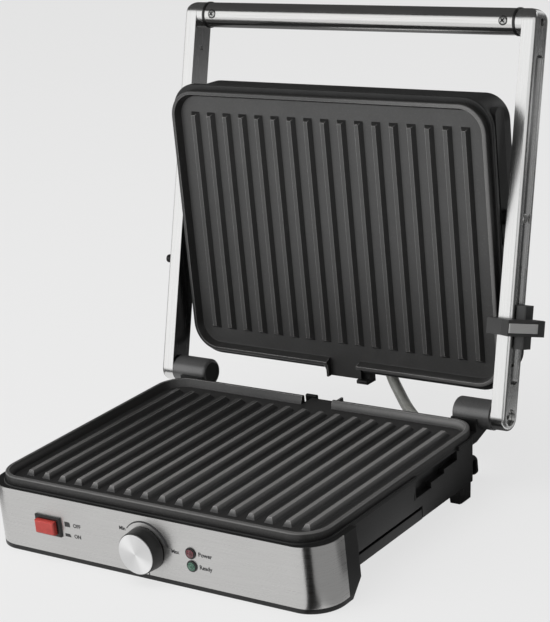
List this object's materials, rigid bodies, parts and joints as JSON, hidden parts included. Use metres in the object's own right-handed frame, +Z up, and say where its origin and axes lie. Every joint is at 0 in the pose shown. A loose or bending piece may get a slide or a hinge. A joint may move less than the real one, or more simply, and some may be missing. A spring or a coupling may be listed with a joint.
{
  "type": "panini press",
  "caption": "Countertop panini press: ribbed base plate, ribbed head hung between hinged arms with a tube handle, thermostat knob, switch, height slider and drip tray.",
  "frame": {"origin": "on the table, under the middle of the box round the whole object with its head open", "axes": "+X to the right seen from the front, +Y from the front panel towards the hinge, +Z up"},
  "size_m": [0.3574, 0.3534, 0.3535],
  "materials": {
    "black_plastic": "fine satin grain",
    "dark_barrel": "satin",
    "brushed_steel": "long fine brushing, clear",
    "plain_steel": "plain",
    "cast_aluminium": "satin silver",
    "spun_aluminium": "spun, fine rings",
    "nonstick": "dark grey non-stick coating, faintly sparkling",
    "rubber": "matt",
    "red_button": "translucent, polished",
    "red_lens": "translucent, polished",
    "green_lens": "translucent, polished",
    "lamp_ring": "polished",
    "terminal": "plain"
  },
  "bodies": {
    "base": {"base_housing": "black_plastic", "front_bottom_cover": "black_plastic", "rear_bottom_cover": "black_plastic", "switch_bezel": "black_plastic", "hinge_end_caps": "black_plastic", "cord_gland": "black_plastic", "switch_body": "black_plastic", "lamp_holders": "black_plastic", "hinge_brackets": "black_plastic", "hinge_barrel_left": "dark_barrel", "hinge_barrel_right": "dark_barrel", "front_panel": "brushed_steel", "cover_screws": "plain_steel", "lower_shield_screws": "plain_steel", "hinge_pins": "plain_steel", "hinge_screws": "plain_steel", "lower_heat_shield": "plain_steel", "lower_heating_element": "plain_steel", "lower_element_clips": "plain_steel", "thermostat_body": "plain_steel", "thermal_fuse": "plain_steel", "lower_plate": "nonstick", "rubber_feet": "rubber", "base_grommet": "rubber", "link_lead": "rubber", "power_lamp": "red_lens", "ready_lamp": "green_lens", "lamp_rings": "lamp_ring", "terminal_block": "terminal"},
    "lid": {"arm_right": "cast_aluminium", "arm_left": "cast_aluminium", "handle_bar": "brushed_steel", "handle_collars": "black_plastic", "handle_screws": "plain_steel", "pivot_pins": "plain_steel", "stop_stud": "black_plastic"},
    "head": {"head_housing": "black_plastic", "head_cover": "brushed_steel", "upper_plate": "nonstick", "upper_heat_shield": "plain_steel", "upper_shield_screws": "plain_steel", "upper_heating_element": "plain_steel", "upper_element_clips": "plain_steel", "head_grommet": "rubber"},
    "slider": {"slider_block": "black_plastic", "slider_trim": "spun_aluminium"},
    "knob": {"temperature_knob": "black_plastic", "knob_cap": "spun_aluminium", "thermostat_shaft": "plain_steel"},
    "button": {"power_button": "red_button"},
    "tray": {"drip_tray": "black_plastic"},
    "latch_lower": {"lower_latch": "black_plastic"},
    "latch_upper": {"upper_latch": "black_plastic"}
  },
  "joints": [
    {"name": "lid_hinge", "type": "hinge", "parent": "base", "child": "lid", "pos_m": [-0.008, 0.07919, 0.0575], "axis": [1, 0, 0], "range_deg": [0, 97.6], "deforming": ["link_lead"]},
    {"name": "head_tilt", "type": "hinge", "parent": "lid", "child": "head", "pos_m": [-0.008, 0.12308, 0.20198], "axis": [1, 0, 0], "range_deg": [-6.53, 0], "deforming": ["link_lead"]},
    {"name": "height_slider", "type": "slide", "parent": "lid", "child": "slider", "axis": [0, 0.2907, 0.9568], "range_m": [-0.0125, 0.0275]},
    {"name": "temperature_knob", "type": "hinge", "parent": "base", "child": "knob", "pos_m": [-0.008, -0.17572, 0.025], "axis": [0, 1, 0], "range_deg": [0, 255]},
    {"name": "power_button", "type": "slide", "parent": "base", "child": "button", "axis": [0, 1, 0], "range_m": [0, 0.003], "stiffness_N_per_m": 500},
    {"name": "lower_latch", "type": "slide", "parent": "base", "child": "latch_lower", "axis": [0, 1, 0], "range_m": [0, 0.004], "stiffness_N_per_m": 400},
    {"name": "upper_latch", "type": "slide", "parent": "head", "child": "latch_upper", "axis": [0, -0.0188, -0.9998], "range_m": [0, 0.004], "stiffness_N_per_m": 400},
    {"name": "drip_tray", "type": "slide", "parent": "base", "child": "tray", "axis": [0, 1, 0], "range_m": [0, 0.07]}
  ],
  "couplings": [
    {"joint": "head_tilt", "follows": "lid_hinge", "ratio": -0.066811}
  ]
}
